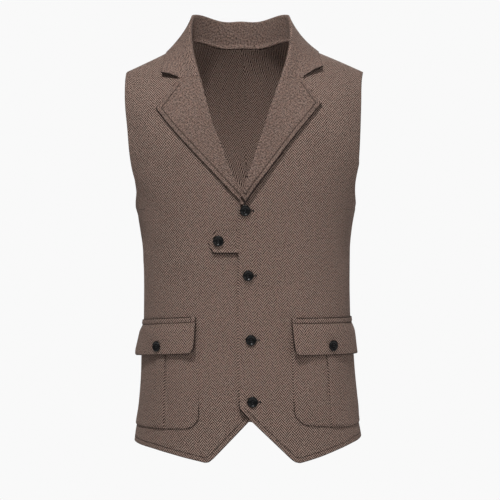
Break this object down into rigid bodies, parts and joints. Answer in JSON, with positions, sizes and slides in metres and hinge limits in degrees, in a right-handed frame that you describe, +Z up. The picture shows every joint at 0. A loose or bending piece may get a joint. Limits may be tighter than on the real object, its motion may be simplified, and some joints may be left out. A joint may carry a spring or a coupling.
{
  "type": "suit waistcoat",
  "caption": "Herringbone tweed suit waistcoat: single-breasted pointed front, notched lapels and collar, buttoned chest tab, flapped patch pockets with box pleats, full back.",
  "frame": {"origin": "midway between the two neck points of the shoulder seams, where the wearer's shoulders carry the garment", "axes": "+Z up the wearer's body, the front faces -Y, +X towards the wearer's left"},
  "size_m": [0.3909, 0.2546, 0.7283],
  "materials": {
    "tweed": "brown wool tweed, herringbone in vertical stripes, matt",
    "tweed_smooth": "brown wool cloth of lapels and collar, finer and slightly lighter, matt",
    "horn": "black polished button"
  },
  "bodies": {
    "root": {"front_left": "tweed", "front_right": "tweed", "back_left": "tweed", "back_right": "tweed", "pocket_left": "tweed", "pocket_right": "tweed", "flap_left": "tweed", "flap_right": "tweed", "chest_tab": "tweed", "lapel_left": "tweed_smooth", "lapel_right": "tweed_smooth", "collar": "tweed_smooth", "front_button_1": "horn", "front_button_2": "horn", "front_button_3": "horn", "front_button_4": "horn", "tab_button": "horn", "flap_button_left": "horn", "flap_button_right": "horn"}
  },
  "joints": []
}
